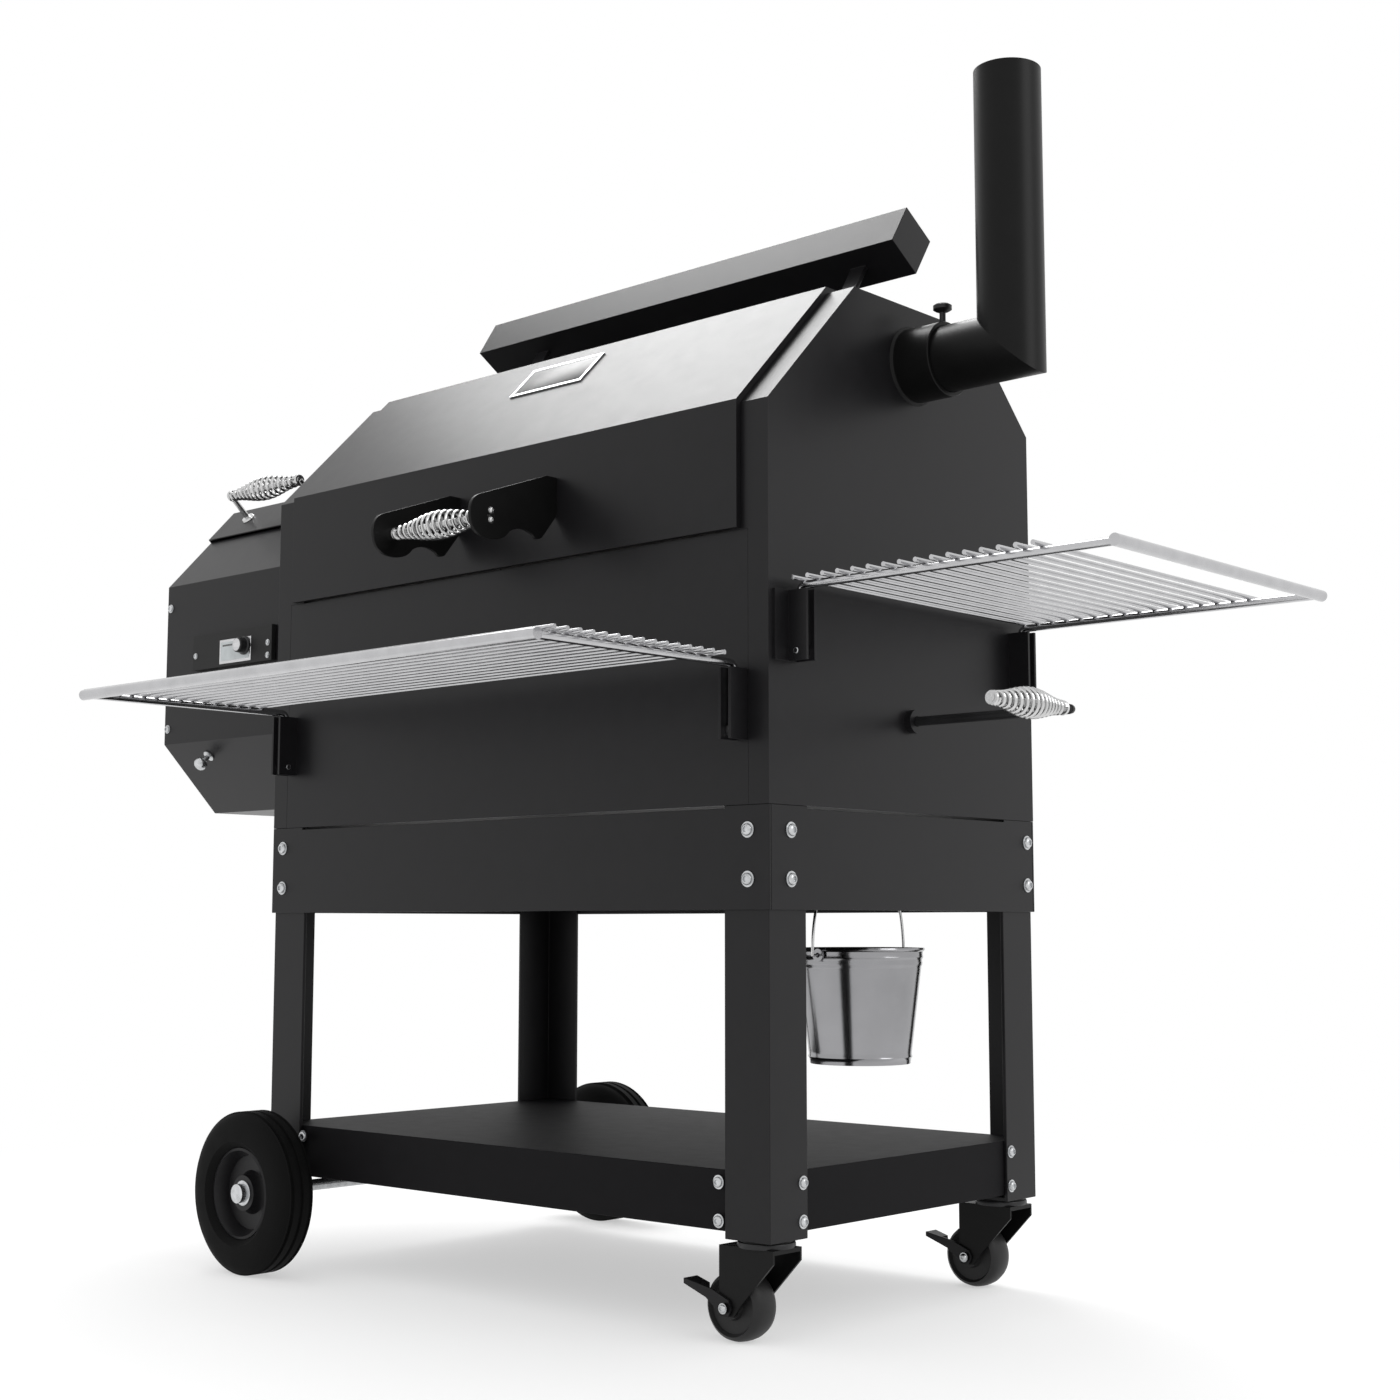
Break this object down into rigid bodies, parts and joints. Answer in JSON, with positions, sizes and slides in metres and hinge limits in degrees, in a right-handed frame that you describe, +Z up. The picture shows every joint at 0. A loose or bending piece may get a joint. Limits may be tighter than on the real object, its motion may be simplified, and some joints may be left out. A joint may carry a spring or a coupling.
{
  "type": "pellet smoker grill",
  "caption": "Wheeled cart smoker with a faceted cooking chamber, counterweighted door, side pellet hopper, elbow chimney, wire shelves and a hanging grease bucket.",
  "frame": {"origin": "centre of the footprint, on the floor", "axes": "+Z up, the door faces -Y, the chimney stands at +X and the hopper hangs at -X"},
  "size_m": [1.7058, 1.003, 1.549],
  "materials": {
    "black_paint": "satin powder coat",
    "inner_paint": "matt coat",
    "stainless": "polished wire and sheet",
    "zinc": "zinc plated",
    "tyre": "moulded rubber",
    "caster_tread": "moulded tread",
    "raw_steel": "dark enamelled steel"
  },
  "bodies": {
    "cart": {"leg_front_left": "black_paint", "leg_rear_left": "black_paint", "leg_front_right": "black_paint", "leg_rear_right": "black_paint", "apron_front": "black_paint", "apron_rear": "black_paint", "apron_left": "black_paint", "apron_right": "black_paint", "shelf_tray": "black_paint", "wheel_axle": "zinc", "end_plate_right": "black_paint", "end_plate_left": "black_paint", "front_panel": "black_paint", "rear_panel": "black_paint", "floor_panel": "inner_paint", "door_hinge_rod": "zinc", "drain_spout": "black_paint", "heat_diffuser": "raw_steel", "fire_pot": "raw_steel", "auger_tube": "raw_steel", "auger_motor": "inner_paint", "blower_housing": "inner_paint", "hopper_housing": "black_paint", "hopper_bin": "raw_steel", "chimney_collar": "black_paint", "controller_panel": "inner_paint"},
    "door": {"door": "black_paint", "door_grip": "stainless", "handle_bracket_left": "black_paint", "handle_bracket_right": "black_paint", "counterweight": "black_paint", "badge_plate": "stainless"},
    "hopper_lid": {"hopper_lid": "black_paint", "lid_handle": "stainless"},
    "damper": {"damper_rod": "zinc", "damper_grip": "stainless"},
    "wheel_front": {"tyre_front": "tyre", "rim_front": "black_paint"},
    "wheel_rear": {"tyre_rear": "tyre", "rim_rear": "black_paint"},
    "caster_fork_front": {"caster_fork_front": "zinc"},
    "caster_fork_rear": {"caster_fork_rear": "zinc"},
    "caster_wheel_front": {"caster_wheel_front": "caster_tread"},
    "caster_wheel_rear": {"caster_wheel_rear": "caster_tread"},
    "brake_pedal_front": {"brake_pedal_front": "black_paint"},
    "brake_pedal_rear": {"brake_pedal_rear": "black_paint"},
    "front_shelf": {"front_shelf": "stainless"},
    "side_shelf": {"side_shelf": "stainless"},
    "bail": {"bail": "stainless"},
    "bucket": {"bucket": "stainless"},
    "chimney": {"chimney_stack": "black_paint"},
    "thumbscrew": {"thumbscrew": "stainless"},
    "controller_knob": {"controller_knob": "stainless"},
    "cleanout_knob": {"cleanout_knob": "zinc"},
    "auger": {"auger": "zinc"},
    "fan_wheel": {"fan_wheel": "inner_paint"},
    "cooking_grate_left": {"cooking_grate_left": "raw_steel"},
    "cooking_grate_right": {"cooking_grate_right": "raw_steel"},
    "drip_tray": {"drip_tray": "raw_steel"}
  },
  "joints": [
    {"name": "door_hinge", "type": "hinge", "parent": "cart", "child": "door", "pos_m": [-0.0621, 0.2865, 1.284], "axis": [-1, 0, 0], "range_deg": [0, 85]},
    {"name": "hopper_lid_hinge", "type": "hinge", "parent": "cart", "child": "hopper_lid", "pos_m": [-0.6911, 0.3305, 1.15], "axis": [-1, 0, 0], "range_deg": [0, 100]},
    {"name": "damper_slide", "type": "slide", "parent": "cart", "child": "damper", "axis": [1, 0, 0], "range_m": [-0.15, 0]},
    {"name": "wheel_front_spin", "type": "hinge", "parent": "cart", "child": "wheel_front", "pos_m": [-0.4681, -0.2245, 0.111], "axis": [0, 1, 0], "continuous": true},
    {"name": "wheel_rear_spin", "type": "hinge", "parent": "cart", "child": "wheel_rear", "pos_m": [-0.4681, 0.4715, 0.111], "axis": [0, 1, 0], "continuous": true},
    {"name": "caster_front_swivel", "type": "hinge", "parent": "cart", "child": "caster_fork_front", "pos_m": [0.3709, -0.1195, 0.1], "axis": [0, 0, 1], "continuous": true},
    {"name": "caster_front_roll", "type": "hinge", "parent": "caster_fork_front", "child": "caster_wheel_front", "pos_m": [0.3329, -0.1195, 0.041], "axis": [0, 1, 0], "continuous": true},
    {"name": "brake_pedal_front_press", "type": "hinge", "parent": "caster_fork_front", "child": "brake_pedal_front", "pos_m": [0.3329, -0.1195, 0.041], "axis": [0, -1, 0], "range_deg": [0, 15]},
    {"name": "caster_rear_swivel", "type": "hinge", "parent": "cart", "child": "caster_fork_rear", "pos_m": [0.3709, 0.3665, 0.1], "axis": [0, 0, 1], "continuous": true},
    {"name": "caster_rear_roll", "type": "hinge", "parent": "caster_fork_rear", "child": "caster_wheel_rear", "pos_m": [0.3329, 0.3665, 0.041], "axis": [0, 1, 0], "continuous": true},
    {"name": "brake_pedal_rear_press", "type": "hinge", "parent": "caster_fork_rear", "child": "brake_pedal_rear", "pos_m": [0.3329, 0.3665, 0.041], "axis": [0, -1, 0], "range_deg": [0, 15]},
    {"name": "front_shelf_fold", "type": "hinge", "parent": "cart", "child": "front_shelf", "pos_m": [-0.0621, -0.1705, 0.705], "axis": [1, 0, 0], "range_deg": [0, 88]},
    {"name": "side_shelf_lift", "type": "slide", "parent": "cart", "child": "side_shelf", "axis": [0, 0, 1], "range_m": [0, 0.08]},
    {"name": "bail_swing", "type": "hinge", "parent": "cart", "child": "bail", "pos_m": [0.3119, 0.1385, 0.59], "axis": [0, 1, 0], "range_deg": [-10, 10]},
    {"name": "bucket_swing", "type": "hinge", "parent": "bail", "child": "bucket", "pos_m": [0.3119, 0.1385, 0.441], "axis": [0, 1, 0], "range_deg": [-15, 15]},
    {"name": "chimney_turn", "type": "hinge", "parent": "cart", "child": "chimney", "pos_m": [0.4379, 0.1375, 1.195], "axis": [1, 0, 0], "range_deg": [-90, 90]},
    {"name": "thumbscrew_turn", "type": "hinge", "parent": "cart", "child": "thumbscrew", "pos_m": [0.4549, 0.1375, 1.24], "axis": [0, 0, 1], "continuous": true},
    {"name": "controller_knob_turn", "type": "hinge", "parent": "cart", "child": "controller_knob", "pos_m": [-0.6301, -0.1555, 0.898], "axis": [0, -1, 0], "range_deg": [-135, 135]},
    {"name": "cleanout_knob_turn", "type": "hinge", "parent": "cart", "child": "cleanout_knob", "pos_m": [-0.7551, -0.1163, 0.74062], "axis": [0, -0.7278, -0.6858], "range_deg": [0, 90]},
    {"name": "auger_turn", "type": "hinge", "parent": "cart", "child": "auger", "pos_m": [-0.5621, 0.1375, 0.7], "axis": [1, 0, 0], "continuous": true},
    {"name": "fan_turn", "type": "hinge", "parent": "cart", "child": "fan_wheel", "pos_m": [-0.6281, 0.2435, 0.7018], "axis": [1, 0, 0], "continuous": true},
    {"name": "cooking_grate_left_lift", "type": "slide", "parent": "cart", "child": "cooking_grate_left", "axis": [0, 0, 1], "range_m": [0, 0.1]},
    {"name": "cooking_grate_right_lift", "type": "slide", "parent": "cart", "child": "cooking_grate_right", "axis": [0, 0, 1], "range_m": [0, 0.1]},
    {"name": "drip_tray_lift", "type": "slide", "parent": "cart", "child": "drip_tray", "axis": [0, 0, 1], "range_m": [0, 0.05]}
  ]
}
